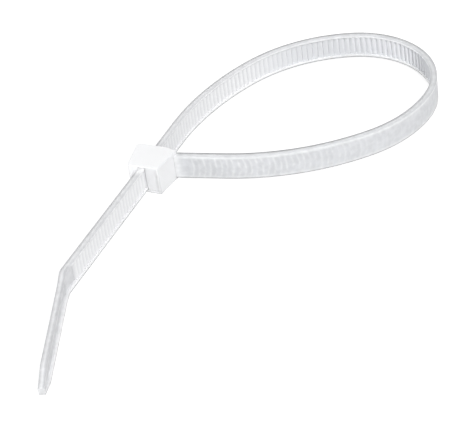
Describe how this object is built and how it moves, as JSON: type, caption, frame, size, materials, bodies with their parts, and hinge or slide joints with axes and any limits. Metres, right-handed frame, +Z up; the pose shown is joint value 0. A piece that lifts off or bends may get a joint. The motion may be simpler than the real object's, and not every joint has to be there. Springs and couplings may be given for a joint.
{
  "type": "cable tie",
  "caption": "Self-locking cable tie of natural nylon, closed in a loose teardrop loop, its toothed tail run back through the head and kinked near the tip.",
  "frame": {"origin": "centre of the part's outline in plan, on the plane that the head's lower cheek rests on", "axes": "+Z up, along the strap's width; the loop lies in the XY plane with its round end towards +X and the kinked tail towards -Y"},
  "size_m": [0.0758, 0.091, 0.0058],
  "materials": {
    "natural_nylon": "satin"
  },
  "bodies": {
    "root": {"cable_tie": "natural_nylon"}
  },
  "joints": []
}
